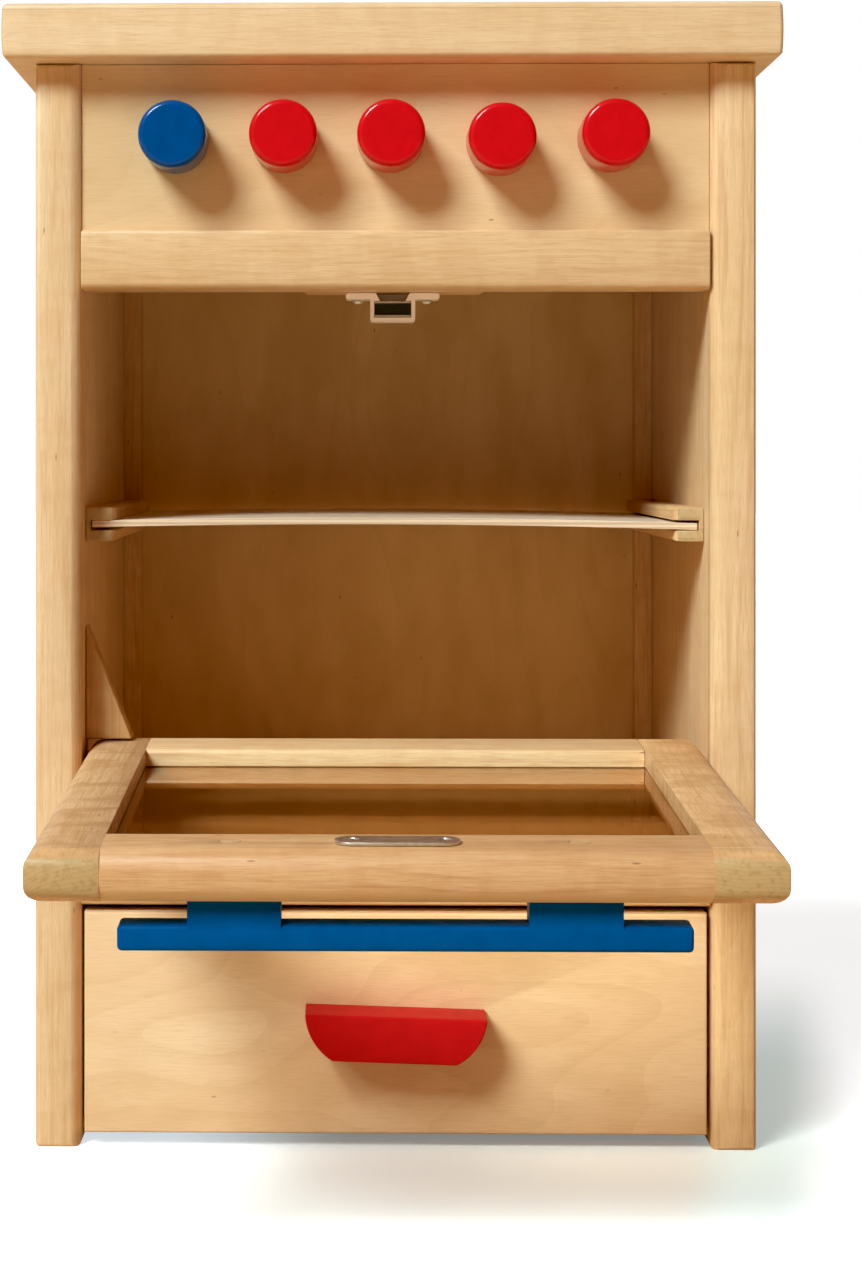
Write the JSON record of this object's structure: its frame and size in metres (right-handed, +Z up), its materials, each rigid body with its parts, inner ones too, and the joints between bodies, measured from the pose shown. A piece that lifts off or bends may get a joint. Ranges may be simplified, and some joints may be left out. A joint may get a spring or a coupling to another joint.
{
  "type": "toy stove",
  "caption": "Wooden toy stove: windowed drop-down oven door on pins, loose bowed oven shelf, drawer with a red pull, and a row of turning knobs.",
  "frame": {"origin": "on the floor, under the middle of the whole outline with the oven door open as stored", "axes": "+X to the right of someone facing the stove, +Y from its front to its back, +Z up"},
  "size_m": [0.408, 0.5117, 0.6027],
  "materials": {
    "solid_wood": "clear satin lacquer on pale solid wood",
    "door_wood": "clear satin lacquer on warmer solid wood",
    "ply": "clear satin lacquer on pale plywood",
    "inner_wood": "plain smooth wood",
    "blue_paint": "blue satin lacquer on wood",
    "red_paint": "red satin lacquer on wood",
    "clear_sheet": "clear polished acrylic",
    "nickel": "bright plated steel",
    "cream_plastic": "cream moulded plastic",
    "ferrite": "matt black ferrite magnet"
  },
  "bodies": {
    "cabinet": {"worktop": "solid_wood", "side_panel_left": "solid_wood", "side_panel_right": "solid_wood", "front_rail": "solid_wood", "control_panel": "ply", "sill_rail": "solid_wood", "oven_floor": "ply", "floor_cleat_left": "inner_wood", "floor_cleat_right": "inner_wood", "back_panel": "ply", "back_batten_left": "inner_wood", "back_batten_right": "inner_wood", "runner_left": "solid_wood", "runner_right": "solid_wood", "stop_block": "solid_wood", "catch_block": "inner_wood", "catch_housing": "cream_plastic", "catch_magnet": "ferrite", "catch_pole_upper": "nickel", "catch_pole_lower": "nickel", "catch_screw_left": "nickel", "catch_screw_right": "nickel", "drawer_runner_left": "inner_wood", "drawer_runner_right": "inner_wood", "hinge_pin_left": "inner_wood", "hinge_pin_right": "inner_wood"},
    "door": {"door_stile_left": "door_wood", "door_stile_right": "door_wood", "door_top_rail": "door_wood", "door_bottom_rail": "door_wood", "door_window": "clear_sheet", "door_handle": "blue_paint", "door_plug_left": "solid_wood", "door_plug_right": "solid_wood", "strike_plate": "nickel", "strike_screw_left": "nickel", "strike_screw_right": "nickel"},
    "drawer": {"drawer_front": "ply", "drawer_side_left": "inner_wood", "drawer_side_right": "inner_wood", "drawer_back": "inner_wood", "drawer_bottom": "ply", "drawer_pull": "red_paint", "pull_screw_left": "nickel", "pull_screw_right": "nickel"},
    "shelf_board": {"shelf": "ply"},
    "knob_1_set": {"knob_1": "blue_paint", "spindle_1": "inner_wood"},
    "knob_2_set": {"knob_2": "red_paint", "spindle_2": "inner_wood"},
    "knob_3_set": {"knob_3": "red_paint", "spindle_3": "inner_wood"},
    "knob_4_set": {"knob_4": "red_paint", "spindle_4": "inner_wood"},
    "knob_5_set": {"knob_5": "red_paint", "spindle_5": "inner_wood"}
  },
  "joints": [
    {"name": "door_hinge", "type": "hinge", "parent": "cabinet", "child": "door", "pos_m": [0, -0.00224, 0.1992], "axis": [-1, 0, 0], "range_deg": [0, 93.3]},
    {"name": "drawer_slide", "type": "slide", "parent": "cabinet", "child": "drawer", "axis": [0, -1, 0], "range_m": [0, 0.17]},
    {"name": "shelf_slide", "type": "slide", "parent": "cabinet", "child": "shelf_board", "axis": [0, 1, 0], "range_m": [-0.2, 0]},
    {"name": "knob_1_turn", "type": "hinge", "parent": "cabinet", "child": "knob_1_set", "pos_m": [-0.1163, -0.00824, 0.5332], "axis": [0, -1, 0], "continuous": true},
    {"name": "knob_2_turn", "type": "hinge", "parent": "cabinet", "child": "knob_2_set", "pos_m": [-0.0586, -0.00824, 0.5335], "axis": [0, -1, 0], "continuous": true},
    {"name": "knob_3_turn", "type": "hinge", "parent": "cabinet", "child": "knob_3_set", "pos_m": [-0.0024, -0.00824, 0.5335], "axis": [0, -1, 0], "continuous": true},
    {"name": "knob_4_turn", "type": "hinge", "parent": "cabinet", "child": "knob_4_set", "pos_m": [0.0553, -0.00824, 0.5316], "axis": [0, -1, 0], "continuous": true},
    {"name": "knob_5_turn", "type": "hinge", "parent": "cabinet", "child": "knob_5_set", "pos_m": [0.1141, -0.00824, 0.5335], "axis": [0, -1, 0], "continuous": true}
  ]
}
